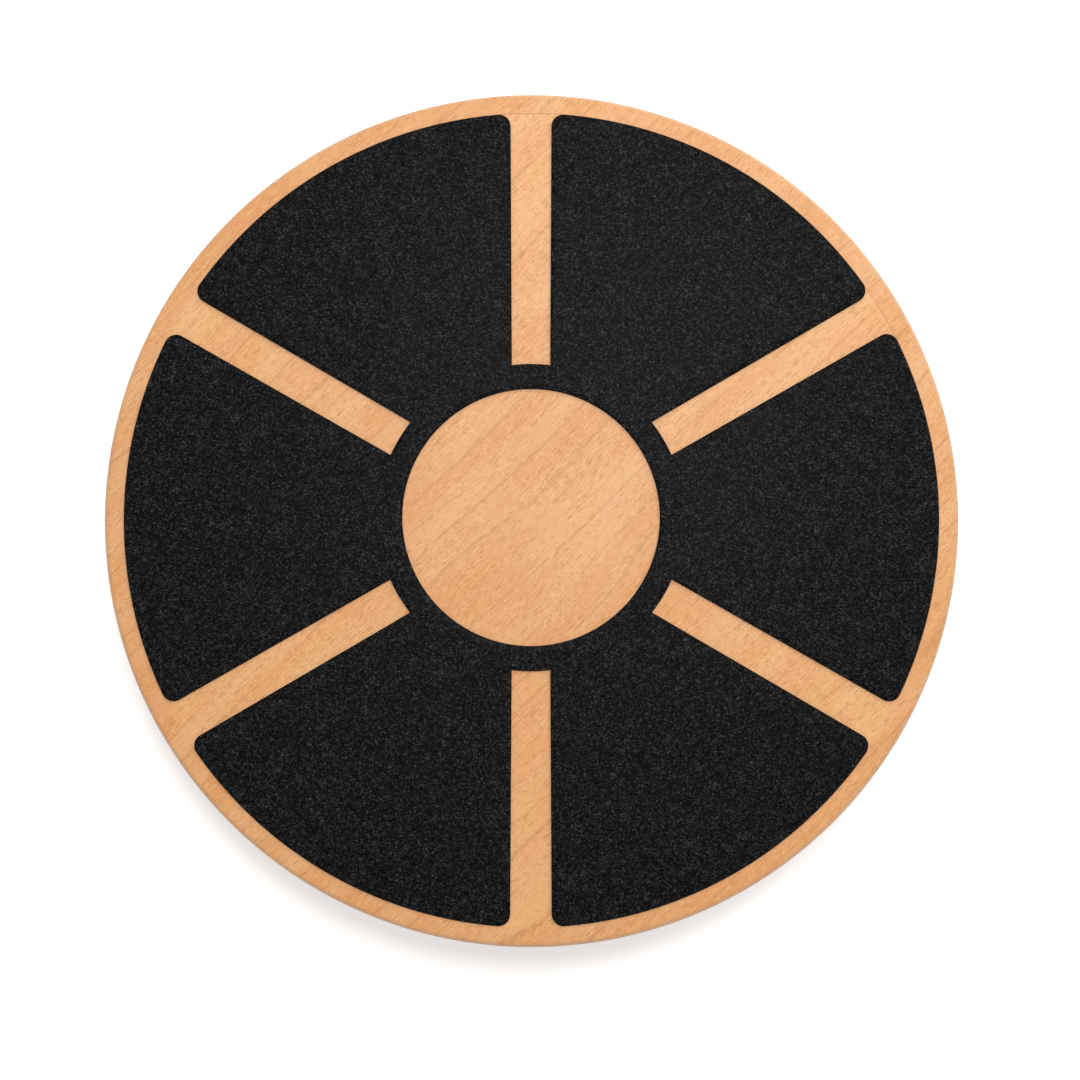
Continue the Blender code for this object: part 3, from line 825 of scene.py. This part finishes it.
def make_dome(dome, sole, screw):
    """The hollow dome: its cavity is cut round the hub, the ribs and the tubes of the wells."""
    obj = turned_object("moulded_dome", dome_profile(dome, sole), 240)
    cavity = turned_object("dome_cavity", cavity_profile(dome, sole), 192)
    low, high = -dome.wall, base_top + 2 * dome.wall
    outer, inner = dome.hub_radius, dome.hub_radius - dome.hub_wall
    profile = np.array([(inner, high), (outer, high), (outer, low), (inner, low), (inner, high)])
    hub = turned_object("hub", profile, 64)
    rib_start = dome.hub_radius - dome.hub_wall / 2
    rib = box_object("rib", (rib_start, -dome.rib / 2, low), (dome.roll_radius, dome.rib / 2, high))
    well = head_radius + dome.well_clearance
    tube = rod_object("well_tube", well + dome.well_wall, low, high, 64)
    inside = [hub] + copies_round(rib, screw_count * dome.ribs_per_screw)
    carve(cavity, inside + at_screws(tube))

    shank = screw.diameter / 2 + fit_gap
    web = base_top - dome.well_web
    profile = np.array([(0.0, high), (shank, high), (shank, web), (well, web), (well, low), (0.0, low)])
    bore = turned_object("screw_well", profile, 64)
    stem = sole.stud_diameter / 2 + fit_gap
    stud_top = ball_height(dome, dome.roll_radius - sole.thickness - dome.wall, 0.0) + dome.wall
    hole = rod_object("stud_hole", stem, 0.0, stud_top, 32)
    lean_about_ball(dome, sole, hole)
    carve(obj, [cavity] + at_screws(bore) + copies_round(hole, screw_count))
    return obj


def groove_runs(dome, sole):
    """The rolling face from its rim to the foot: lands on the sphere, and grooves one depth in."""
    runs = []
    deep = dome.roll_radius - sole.groove_depth
    start = sole_radius(dome, sole) - sole.edge_radius
    outer = start - sole.groove_pitch + sole.groove_width
    while outer > dome.foot_radius + 2 * sole.groove_width:
        inner = outer - sole.groove_width
        land = ball_arc(dome, dome.roll_radius, start, outer, 6)
        base = ball_arc(dome, deep, outer, inner, 2)
        far_side = (inner, ball_height(dome, dome.roll_radius, inner))
        runs += [land, np.array([land[-1], base[0]]), base, np.array([base[-1], far_side])]
        start = inner
        outer -= sole.groove_pitch
    runs.append(ball_arc(dome, dome.roll_radius, start, dome.foot_radius, 6))
    return runs


def sole_profile(dome, sole):
    """Inner face, rim, the rolling face with its ring grooves, and the flat foot."""
    edge = sole_radius(dome, sole)
    inner = ball_arc(dome, dome.roll_radius - sole.thickness, 0.0, edge, 24)
    rim_height = ball_height(dome, dome.roll_radius, edge) + sole.edge_radius
    runs = groove_runs(dome, sole)
    rim = np.array([inner[-1], (edge, rim_height)])
    ease = np.array([(edge, rim_height), runs[0][0]])
    corner, steps = 0.00025, 3
    return np.vstack([rounded([inner, rim, ease] + runs, corner, steps), [(0.0, 0.0)]])


def make_sole(dome, sole):
    """The sole, with a barbed stud for each screw's place joined on."""
    obj = turned_object("rubber_sole", sole_profile(dome, sole), 240)
    seat = ball_height(dome, dome.roll_radius - sole.thickness - fit_gap - dome.wall, 0.0) + fit_gap
    top, stem, head = seat + sole.stud_height, sole.stud_diameter / 2, sole.stud_head / 2
    sunk, lip, blunt, bulge = 0.001, 0.0006, 0.6, 0.35
    root = ball_height(dome, dome.roll_radius - sole.thickness, 0.0) - sunk
    nose = np.linspace((stem * blunt, top), (head, seat + lip), 7)
    nose[:, 0] += (head - stem) * bulge * np.sin(np.linspace(0.0, math.pi, 7))
    profile = np.vstack([[(0.0, top)], nose, [(head, seat), (stem, seat), (stem, root), (0.0, root)]])
    profile[:, 0] = np.minimum(profile[:, 0], head)
    stud = turned_object("sole_stud", profile, 32)
    lean_about_ball(dome, sole, stud)
    carve(obj, copies_round(stud, screw_count), 'UNION')
    return obj


def screw_points(screw):
    """One screw, tip up, as radius over height and angle.

    The thread is a helix: its crest stands where the height counted in pitches and the angle
    counted in turns differ by a whole number. The crest fades in at the tip and out at the neck.
    """
    tip, start, face = screw_high.z, deck_bottom - 0.001, screw_low.z
    core, seat = screw.diameter / 2 - screw.thread_depth, face + screw.head_height
    crest_share, fade_share, bluntness, bevel = 0.62, 0.6, 0.7, 0.0001
    heights = np.linspace(tip, seat, 140)
    taper = np.clip((tip - heights) / screw.tip_length, 0, 1) ** bluntness
    inner = np.where(heights > start, core * taper, screw.diameter / 2)
    angles = np.linspace(0.0, math.tau, 48, endpoint=False)
    phase = (heights[:, None] / screw.pitch + angles / math.tau) % 1.0
    crest = np.clip(1.0 - np.abs(2 * phase - 1.0) / crest_share, 0, 1)
    fade = np.clip((heights - start) / screw.pitch, 0, 1)
    fade = fade * np.clip((tip - heights) / (fade_share * screw.tip_length), 0, 1)
    radii = inner[:, None] + screw.thread_depth * crest * fade[:, None]
    radii = np.minimum(radii, screw.diameter / 2)

    centre = (head_radius - screw.head_round, face + screw.head_round)
    edge = arc(centre, screw.head_round, 0, -90, 8)
    head = np.vstack([[(head_radius - bevel, seat), (head_radius, seat - bevel)],
                      edge, [(screw.recess_span / 2 + 0.0003, face), (0.0, face)]])
    profile = np.vstack([np.column_stack([inner, heights]), head])
    all_radii = np.vstack([radii, head[:, :1] + 0 * angles])
    return turned_points(profile, len(angles), all_radii)


def cross_object(screw):
    """The cutter of the cross recess: a plus outline that narrows with depth."""
    arm, reach = screw.recess_width / 2, screw.recess_span / 2
    corner = np.array([(reach, -arm, 0.0), (reach, arm, 0.0), (arm, arm, 0.0)])
    outline = np.vstack([turned(corner, math.pi / 2 * k) for k in range(4)])
    narrow, wide = 0.55, 1.15
    top, out = screw_low.z + screw.recess_depth, screw_low.z - 0.0005
    levels = ((0.0, top), (narrow, top), (wide, out), (0.0, out))
    return grid_object("cross_recess", levelled(outline, levels))


def make_screws(screw):
    """The like screws, one for each screw node, in the order of the nodes."""
    obj = grid_object("base_screw_fine", screw_points(screw))
    carve(obj, [cross_object(screw)])
    return at_screws(obj)


# Operators

class BoardOperator(Operator):
    """What every operator of the board shares."""
    bl_options = {'REGISTER', 'UNDO'}


class WOBBLE_OT_deck(BoardOperator):
    """Turns the plywood deck and paints it beech"""
    bl_idname = "wobble_board.deck"
    bl_label = "Deck"

    def execute(self, context):
        scene = context.scene
        obj = make_deck(scene.board_deck, scene.board_screw)
        dress(obj, beech_material(scene.board_deck), "beech", "deck")
        return {'FINISHED'}


class WOBBLE_OT_grip(BoardOperator):
    """Cuts the lobed grit sheet"""
    bl_idname = "wobble_board.grip"
    bl_label = "Grit sheet"

    def execute(self, context):
        grip = context.scene.board_grip
        dress(make_grip(grip), grit_material(grip), "grit_sheet", "grip_sheet")
        return {'FINISHED'}


class WOBBLE_OT_dome(BoardOperator):
    """Moulds the hollow dome with its ribs and wells"""
    bl_idname = "wobble_board.dome"
    bl_label = "Dome"

    def execute(self, context):
        scene = context.scene
        obj = make_dome(scene.board_dome, scene.board_sole, scene.board_screw)
        dress(obj, plastic_material(scene.board_dome), "black_abs", "base_dome")
        return {'FINISHED'}


class WOBBLE_OT_sole(BoardOperator):
    """Moulds the rubber sole with its grooves and studs"""
    bl_idname = "wobble_board.sole"
    bl_label = "Sole"

    def execute(self, context):
        scene = context.scene
        obj = make_sole(scene.board_dome, scene.board_sole)
        dress(obj, rubber_material(scene.board_sole), "sole_rubber", "dome_sole")
        return {'FINISHED'}


class WOBBLE_OT_screws(BoardOperator):
    """Makes the pan-head screws that hold the dome to the deck"""
    bl_idname = "wobble_board.screws"
    bl_label = "Screws"

    def execute(self, context):
        screw = context.scene.board_screw
        zinc = zinc_material(screw)
        for obj, name in zip(make_screws(screw), screw_names):
            dress(obj, zinc, "zinc_steel", name)
        return {'FINISHED'}


def seen_mask(tree):
    """1 for rays from the camera, in a mirror or through glass, and 0 for light on the board."""
    path = tree.add('ShaderNodeLightPath').outputs
    seen = tree.math('ADD', path["Is Camera Ray"], path["Is Glossy Ray"])
    return tree.math('ADD', seen, path["Is Transmission Ray"], clamp=True)


def make_floor(stage):
    """A wide pale floor, lifted to white where it is seen, that keeps the board's shadow.

    It is lifted more away from the board, so that no horizon shows, and is clear from below.
    """
    floor_radius, level, matt_share, glow = 6.0, -0.0002, 0.86, 0.50
    obj = turned_object("floor", np.array([(0.0, level), (0.5, level), (floor_radius, level)]), 96)
    material, tree, shader, place = new_material("floor", stage.floor_colour)
    nodes = material.node_tree.nodes
    nodes.remove(shader)
    seen = seen_mask(tree)
    shade = tree.blend(seen, rgba(stage.floor_colour), rgba([matt_share] * 3))
    matt = tree.add('ShaderNodeBsdfDiffuse', {"Color": shade})
    lift = tree.times(seen, tree.remap(tree.vector('LENGTH', place), 0.35, 1.2, glow, 1.0))
    light = tree.add('ShaderNodeEmission', {"Strength": lift})
    both = tree.add('ShaderNodeAddShader', [matt.outputs[0], light.outputs[0]])
    below = tree.add('ShaderNodeNewGeometry').outputs["Backfacing"]
    clear = tree.add('ShaderNodeBsdfTransparent')
    surface = tree.add('ShaderNodeMixShader', [below, both.outputs[0], clear.outputs[0]])
    tree.fill(nodes["Material Output"], {"Surface": surface.outputs[0]})
    obj.data.materials.append(material)


def make_world(stage):
    """A white studio: white where it is seen, and dimmer as the soft light on the board."""
    world = bpy.data.worlds.new("studio")
    world.use_nodes = True
    tree = Tree(world.node_tree)
    strength = tree.blend(seen_mask(tree), stage.daylight, 1.0, 'FLOAT')
    tree.fill(world.node_tree.nodes["Background"], {"Color": rgba((1.0,) * 3), "Strength": strength})
    bpy.context.scene.world = world


def make_lamp(name, place, size, power):
    """A square area lamp at a place, turned to the middle of the deck."""
    lamp = adjust(bpy.data.lights.new(name, 'AREA'), shape='SQUARE', size=size, energy=power)
    turn = (deck_middle - Vector(place)).to_track_quat('-Z', 'Y')
    adjust(new_object(name, lamp), location=place, rotation_mode='QUATERNION', rotation_quaternion=turn)


def make_camera(stage):
    """The camera, above the board and leaning a little from straight down, with +Y up.

    Its axes are right, up and away: away points back from the aim, right is +Y crossed with it.
    """
    lens = adjust(bpy.data.cameras.new("camera"), lens=stage.focal_length, sensor_width=36.0)
    back = Vector((math.tan(stage.lean[0]), -math.tan(stage.lean[1]), 1.0)).normalized()
    place = deck_middle + stage.distance * back
    away = (place - Vector((*stage.aim, deck_top))).normalized()
    right = Vector((0.0, 1.0, 0.0)).cross(away).normalized()
    turn = Matrix((right, away.cross(right), away)).transposed().to_quaternion()
    bpy.context.scene.camera = adjust(new_object("camera", lens), location=place,
                                      rotation_mode='QUATERNION', rotation_quaternion=turn)


class WOBBLE_OT_stage(BoardOperator):
    """Makes the floor, the lamps, the world and the camera"""
    bl_idname = "wobble_board.stage"
    bl_label = "Stage"

    def execute(self, context):
        stage = context.scene.board_stage
        make_floor(stage)
        make_world(stage)
        make_lamp("key", (0.08, 0.32, 2.00), 0.34, 17.9)
        make_lamp("side", (0.60, 0.90, 0.90), 1.2, 9.0)
        make_camera(stage)
        context.scene.view_settings.view_transform = 'Standard'
        return {'FINISHED'}


# Panel and registration

PIECES = [WOBBLE_OT_deck, WOBBLE_OT_grip, WOBBLE_OT_dome, WOBBLE_OT_sole, WOBBLE_OT_screws]
SETTINGS = {"board_deck": DeckSettings, "board_grip": GripSettings, "board_dome": DomeSettings,
            "board_sole": SoleSettings, "board_screw": ScrewSettings, "board_stage": StageSettings}


class WOBBLE_PT_board(Panel):
    """Lists the pieces of the board and their settings"""
    bl_label = "Wobble board"
    bl_idname = "WOBBLE_PT_board"
    bl_space_type = 'VIEW_3D'
    bl_region_type = 'UI'
    bl_category = "Wobble board"

    def draw(self, context):
        for operator in [WOBBLE_OT_stage] + PIECES:
            self.layout.operator(operator.bl_idname)
        for name, kind in SETTINGS.items():
            box = self.layout.box()
            box.label(text=name.replace("_", " ").capitalize())
            for label in kind.__annotations__:
                box.prop(getattr(context.scene, name), label)


CLASSES = [*SETTINGS.values(), WOBBLE_OT_stage, *PIECES, WOBBLE_PT_board]


def register():
    """Registers the classes and hangs the settings on the scene."""
    for kind in CLASSES:
        bpy.utils.register_class(kind)
    for name, kind in SETTINGS.items():
        setattr(bpy.types.Scene, name, PointerProperty(type=kind))


def unregister():
    """Takes the settings and the classes away again."""
    for name in SETTINGS:
        delattr(bpy.types.Scene, name)
    for kind in reversed(CLASSES):
        bpy.utils.unregister_class(kind)


def main():
    """Registers the add-on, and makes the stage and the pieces."""
    register()
    bpy.ops.wobble_board.stage()
    bpy.ops.wobble_board.deck()
    bpy.ops.wobble_board.grip()
    bpy.ops.wobble_board.dome()
    bpy.ops.wobble_board.sole()
    bpy.ops.wobble_board.screws()
    bpy.context.view_layer.update()


if __name__ == "__main__":
    main()
